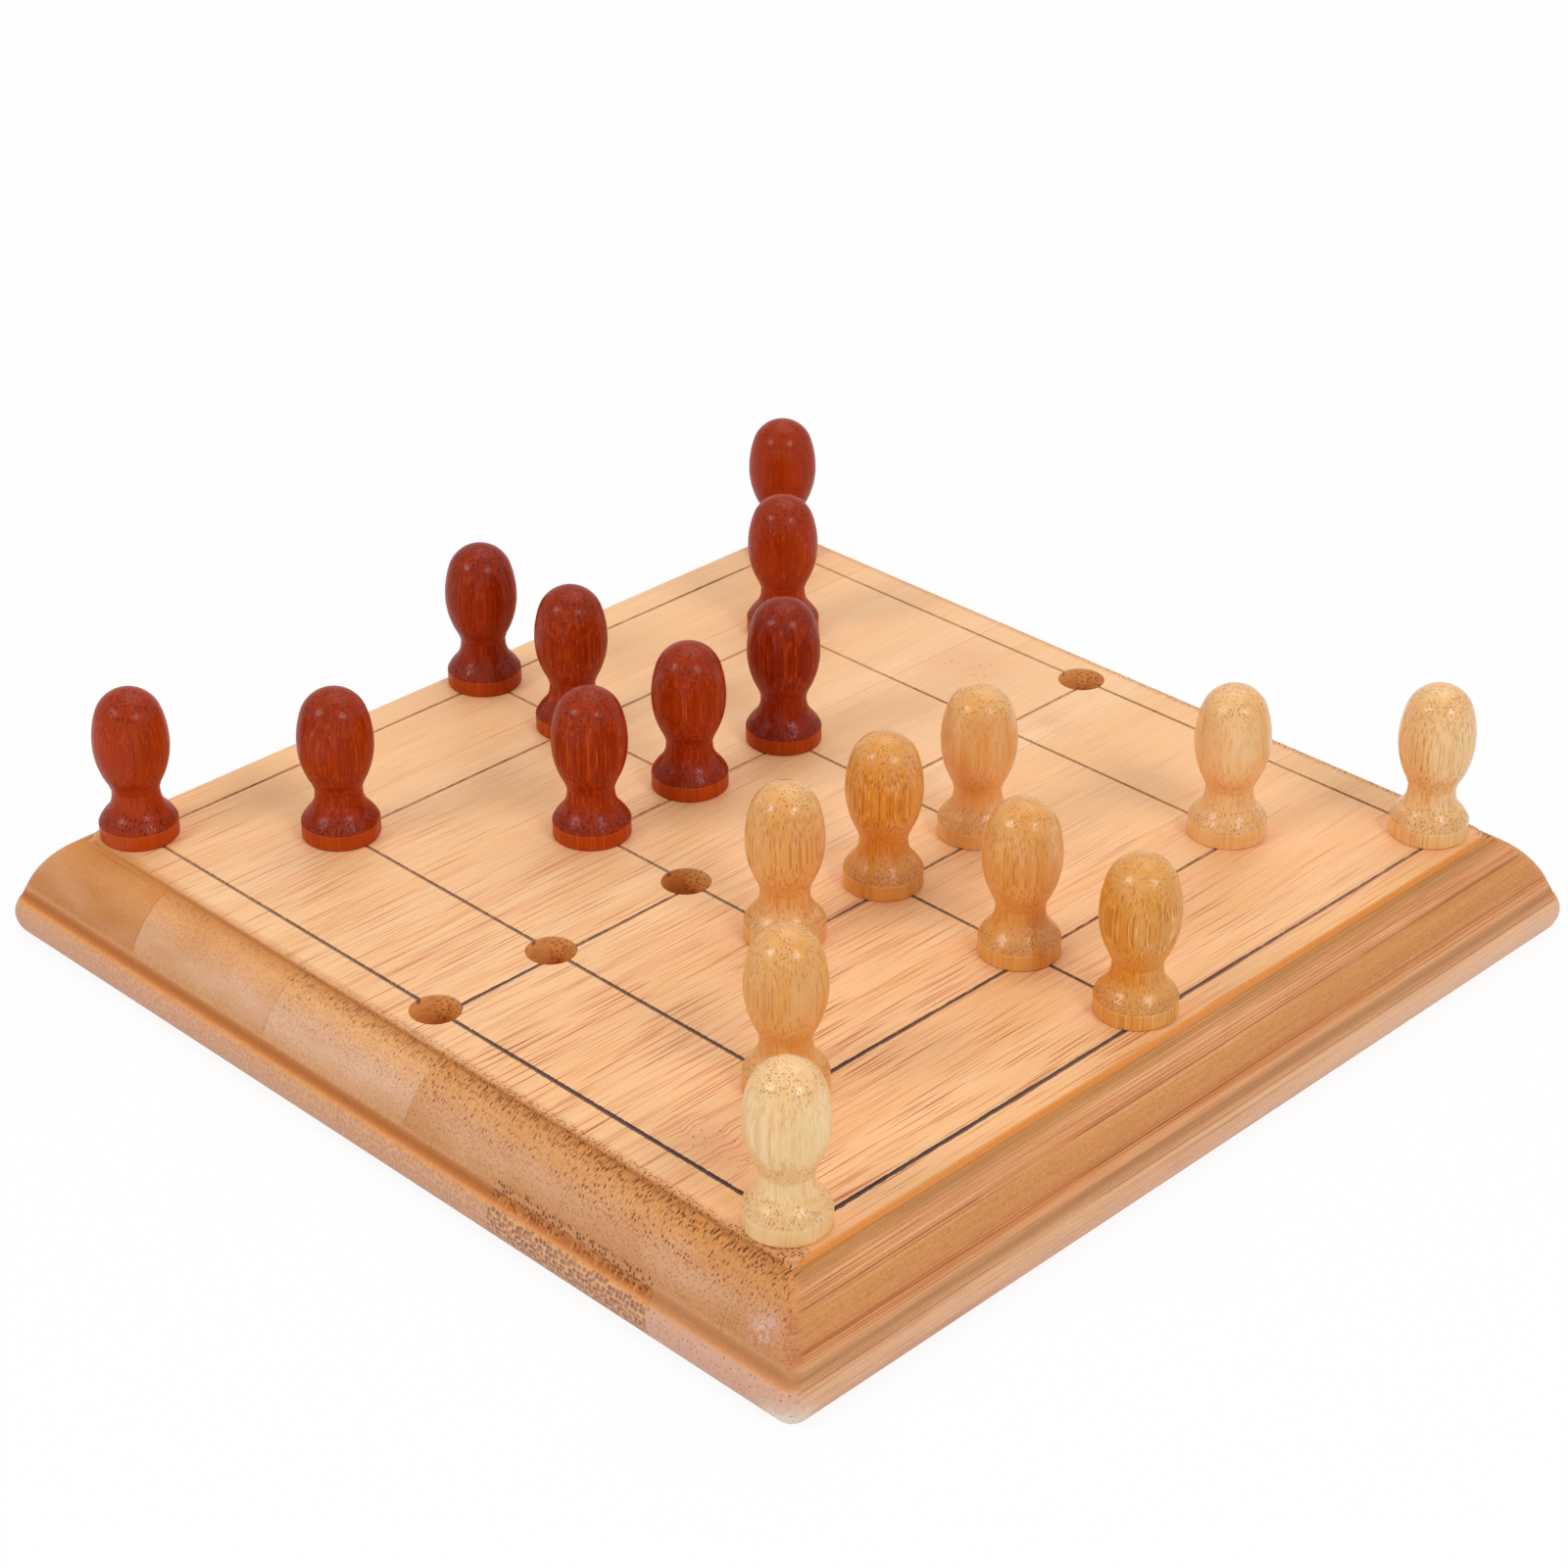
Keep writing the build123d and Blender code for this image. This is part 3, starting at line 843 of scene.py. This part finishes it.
def peg_profile():
    """Outline of a peg from the end of its spigot to the top of its head."""
    share = (HEAD_BASE_HEIGHT - NECK[1]) / (WIDEST[1] - NECK[1])
    head_base = (NECK[0] + share * (WIDEST[0] - NECK[0]), HEAD_BASE_HEIGHT)
    rise = PEG_HEIGHT - WIDEST[1] - CAP_RADIUS
    side_radius = (WIDEST[0] ** 2 - CAP_RADIUS**2 + rise**2) / (2 * (WIDEST[0] - CAP_RADIUS))
    span = math.hypot(side_radius - WIDEST[0], rise)
    cap_edge = (
        CAP_RADIUS * (side_radius - WIDEST[0]) / span,
        PEG_HEIGHT - CAP_RADIUS + CAP_RADIUS * rise / span,
    )
    arris = (FOOT_RADIUS, FOOT_HEIGHT)
    lower_cove, heading = tangent_arc(NECK, SKIRT, (0, -1))
    skirt, _ = tangent_arc(SKIRT, arris, heading)
    upper_cove, _ = tangent_arc(NECK, head_base, (0, 1))
    under_head, _ = tangent_arc(WIDEST, head_base, (0, -1))
    over_head, heading = tangent_arc(WIDEST, cap_edge, (0, 1))
    cap, _ = tangent_arc(cap_edge, (0, PEG_HEIGHT), heading)
    foot = [(FOOT_RADIUS, height) for height in (0.4, 0.9, 1.4, FOOT_HEIGHT - 0.36)]
    return (
        [(1.4, -SPIGOT_LENGTH), (SPIGOT_RADIUS - SPIGOT_CHAMFER, -SPIGOT_LENGTH)]
        + [(SPIGOT_RADIUS, height) for height in (SPIGOT_CHAMFER - SPIGOT_LENGTH, -4.0, -0.02)]
        + [(4.0, 0.0), (FOOT_UNDER_RADIUS, 0.0)]
        + rounded((FOOT_UNDER_RADIUS, 0.0), (FOOT_RADIUS, 0.0), foot[0], FOOT_ROUND)
        + foot
        + rounded(foot[-1], arris, skirt[-2], ARRIS_ROUND)
        + skirt[-2:0:-1]
        + lower_cove[:0:-1]
        + upper_cove[:-1]
        + under_head[:0:-1]
        + over_head[:-1]
        + cap[:-1]
    )


PROFILE = peg_profile()


def turned_peg(name, centre, look):
    """A lathe mesh, a little out of round, that stands for a CAD peg."""
    tone, streaky, stretch, flats = look
    chance = random.Random(name)
    phases = [chance.uniform(0, 2 * math.pi) for _ in range(4)]
    flat_angles = [chance.uniform(0, 2 * math.pi) for _ in range(flats)]
    shift = chance.random()
    vertices = []
    for radius, height in PROFILE:
        above = max(0.0, height - NECK[1]) / (PEG_HEIGHT - NECK[1])
        lifted = height + above * stretch
        crease = CREASE_DEPTH * math.exp(-(((height - CREASE_HEIGHT) / CREASE_WIDTH) ** 2))
        for segment in range(SEGMENTS):
            angle = 2 * math.pi * segment / SEGMENTS
            uneven = 1.0
            if height > 0.1:
                uneven += OVAL * math.sin(2 * angle + phases[0] + height * 0.05)
                uneven += THREE_LOBES * math.sin(3 * angle + phases[1] - height * 0.12)
                uneven += RIPPLE * math.sin(height * 3.1 + phases[2])
            distance = (radius - crease) * uneven
            if 0.0 <= height <= FOOT_HEIGHT + 0.2:
                for flat in flat_angles:
                    facing = math.cos(angle - flat)
                    if facing > FLAT_COSINE:
                        distance = min(distance, (FOOT_RADIUS - FLAT_DEPTH) / facing)
            vertices.append(
                (
                    (centre[0] + distance * math.cos(angle)) * MM,
                    (centre[1] + distance * math.sin(angle)) * MM,
                    (THICKNESS + lifted) * MM,
                )
            )
    top = len(vertices)
    vertices.append((centre[0] * MM, centre[1] * MM, (THICKNESS + PEG_HEIGHT + stretch) * MM))
    vertices.append((centre[0] * MM, centre[1] * MM, (THICKNESS - SPIGOT_LENGTH) * MM))
    faces = []
    for ring in range(len(PROFILE) - 1):
        for segment in range(SEGMENTS):
            after = (segment + 1) % SEGMENTS
            low, high = ring * SEGMENTS, (ring + 1) * SEGMENTS
            faces.append((low + segment, low + after, high + after, high + segment))
    last = (len(PROFILE) - 1) * SEGMENTS
    for segment in range(SEGMENTS):
        after = (segment + 1) % SEGMENTS
        faces.append((last + segment, last + after, top))
        faces.append((after, segment, top + 1))
    mesh = bpy.data.meshes.new(name + "_turned")
    mesh.from_pydata(vertices, [], faces)
    mesh.update()
    mesh.polygons.foreach_set("use_smooth", [True] * len(faces))
    looks = mesh.attributes.new("tone", "FLOAT_VECTOR", "POINT")
    looks.data.foreach_set("vector", [tone, streaky, shift] * len(vertices))
    piece = bpy.data.objects.new(name + "_turned", mesh)
    bpy.context.scene.collection.objects.link(piece)
    return piece


# Tone, streakiness, extra head height in millimetres and number of flats on the foot
PEG_LOOKS = {
    "red_peg_outer_front": (0.1, 0.5, 0.0, 0),
    "red_peg_outer_centre": (0.75, 0.3, 0.0, 0),
    "red_peg_outer_back": (0.25, 0.2, 0.1, 0),
    "red_peg_middle_front": (0.4, 0.7, 0.0, 1),
    "red_peg_middle_centre": (0.6, 0.8, 0.1, 0),
    "red_peg_middle_back": (0.35, 0.5, 0.0, 0),
    "red_peg_inner_front": (0.45, 0.9, 0.1, 0),
    "red_peg_inner_centre": (0.45, 0.7, 0.0, 0),
    "red_peg_inner_back": (0.95, 0.4, 0.1, 0),
    "natural_peg_outer_front": (0.0, 0.15, 0.0, 2),
    "natural_peg_outer_centre": (1.0, 0.9, 0.3, 0),
    "natural_peg_outer_back": (0.25, 0.5, 0.3, 2),
    "natural_peg_middle_front": (0.7, 0.5, 0.4, 0),
    "natural_peg_middle_centre": (0.8, 0.6, 0.3, 0),
    "natural_peg_middle_back": (0.3, 0.2, 0.3, 1),
    "natural_peg_inner_front": (0.65, 0.6, 0.4, 0),
    "natural_peg_inner_centre": (1.0, 0.9, 0.4, 1),
    "natural_peg_inner_back": (0.6, 0.2, 0.4, 0),
}

for finish, column, material, slot in (
    ("red", -1, red_bamboo, "red_stained_bamboo"),
    ("natural", 1, natural_bamboo, "natural_bamboo"),
):
    for ring, half in RINGS.items():
        for row_name, row in ROWS.items():
            node_name = f"{finish}_peg_{ring}_{row_name}"
            centre = (HOLE_SHIFT_X + column * half, row * half)
            peg = turned_peg(node_name, centre, PEG_LOOKS[node_name])
            peg.data.materials.append(material)
            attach(peg, node_name)
            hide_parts(node_name)


# Floor: white to the camera and in reflections, yet it takes the object's shadow
FLOOR_HALF_SIDE = 3.0
FLOOR_GREY = 0.88
FLOOR_GLOW = 1.02
FLOOR_GLOW_SHARE = 0.88
floor_mesh = bpy.data.meshes.new("floor")
floor_mesh.from_pydata(
    [
        (side * FLOOR_HALF_SIDE, depth * FLOOR_HALF_SIDE, 0)
        for side, depth in ((-1, -1), (1, -1), (1, 1), (-1, 1))
    ],
    [],
    [(0, 1, 2, 3)],
)
floor = bpy.data.objects.new("floor", floor_mesh)
bpy.context.scene.collection.objects.link(floor)


def seen_white(tree, first, second):
    """Mixes two shaders: the second one is what the camera and reflections see."""
    path = tree.nodes.new("ShaderNodeLightPath")
    mix = tree.nodes.new("ShaderNodeMixShader")
    seen = path.outputs["Is Camera Ray"]
    for kind in ("Is Glossy Ray", "Is Transmission Ray"):
        either = tree.nodes.new("ShaderNodeMath")
        either.operation = "MAXIMUM"
        tree.links.new(seen, either.inputs[0])
        tree.links.new(path.outputs[kind], either.inputs[1])
        seen = either.outputs[0]
    tree.links.new(seen, mix.inputs[0])
    tree.links.new(first, mix.inputs[1])
    tree.links.new(second, mix.inputs[2])
    return mix.outputs[0]


floor_look = bpy.data.materials.new("floor_white")
floor_look.use_nodes = True
tree = floor_look.node_tree
plain = tree.nodes["Principled BSDF"]
plain.inputs["Base Color"].default_value = grey(FLOOR_GREY)
plain.inputs["Roughness"].default_value = 0.9
plain.inputs["Specular IOR Level"].default_value = 0.1
glow = tree.nodes.new("ShaderNodeEmission")
glow.inputs["Strength"].default_value = FLOOR_GLOW
blend = tree.nodes.new("ShaderNodeMixShader")
blend.inputs[0].default_value = FLOOR_GLOW_SHARE
tree.links.new(plain.outputs[0], blend.inputs[1])
tree.links.new(glow.outputs[0], blend.inputs[2])
floor_surface = seen_white(tree, plain.outputs[0], blend.outputs[0])
tree.links.new(floor_surface, tree.nodes["Material Output"].inputs[0])
floor_mesh.materials.append(floor_look)

# World: a white backdrop over a weaker white light
AMBIENT_STRENGTH = 0.41
world = bpy.data.worlds.new("studio")
world.use_nodes = True
bpy.context.scene.world = world
tree = world.node_tree
ambient = tree.nodes["Background"]
ambient.inputs["Color"].default_value = grey(1.0)
ambient.inputs["Strength"].default_value = AMBIENT_STRENGTH
backdrop = tree.nodes.new("ShaderNodeBackground")
backdrop.inputs["Color"].default_value = grey(1.0)
world_surface = seen_white(tree, ambient.outputs[0], backdrop.outputs[0])
tree.links.new(world_surface, tree.nodes["World Output"].inputs[0])

# Camera: the photograph's view
TARGET = Vector((-9.857, 9.167, 15.0)) * MM
CAMERA_AZIMUTH = 44.81
CAMERA_ELEVATION = 29.76
CAMERA_DISTANCE = 0.48836
SENSOR_WIDTH = 36.0
FOCAL_LENGTH = 80.41


def direction(azimuth, elevation):
    """Unit vector from the target; azimuth 0 is towards -Y and 90 towards +X."""
    a, e = math.radians(azimuth), math.radians(elevation)
    return Vector((math.sin(a) * math.cos(e), -math.cos(a) * math.cos(e), math.sin(e)))


camera_data = bpy.data.cameras.new("camera")
camera_data.sensor_fit = "HORIZONTAL"
camera_data.sensor_width = SENSOR_WIDTH
camera_data.lens = FOCAL_LENGTH
camera = bpy.data.objects.new("camera", camera_data)
back = direction(CAMERA_AZIMUTH, CAMERA_ELEVATION)
camera.location = TARGET + back * CAMERA_DISTANCE
camera.rotation_euler = back.to_track_quat("Z", "Y").to_euler()
bpy.context.scene.collection.objects.link(camera)
bpy.context.scene.camera = camera


def softbox(name, azimuth, elevation, distance, size, watts):
    """A square lamp that faces the board; azimuth is counted from the camera's."""
    data = bpy.data.lights.new(name, "AREA")
    data.shape = "SQUARE"
    data.size = size
    data.energy = watts
    lamp = bpy.data.objects.new(name, data)
    towards = direction(CAMERA_AZIMUTH + azimuth, elevation)
    lamp.location = towards * distance
    lamp.rotation_euler = towards.to_track_quat("Z", "Y").to_euler()
    bpy.context.scene.collection.objects.link(lamp)


softbox("left_box", -63, 40, 1.2, 0.36, 3.4)
softbox("right_box", 41, 40, 1.2, 0.36, 3.4)
softbox("overhead", 160, 68, 1.6, 1.3, 8.8)

bpy.context.scene.view_settings.view_transform = "Standard"
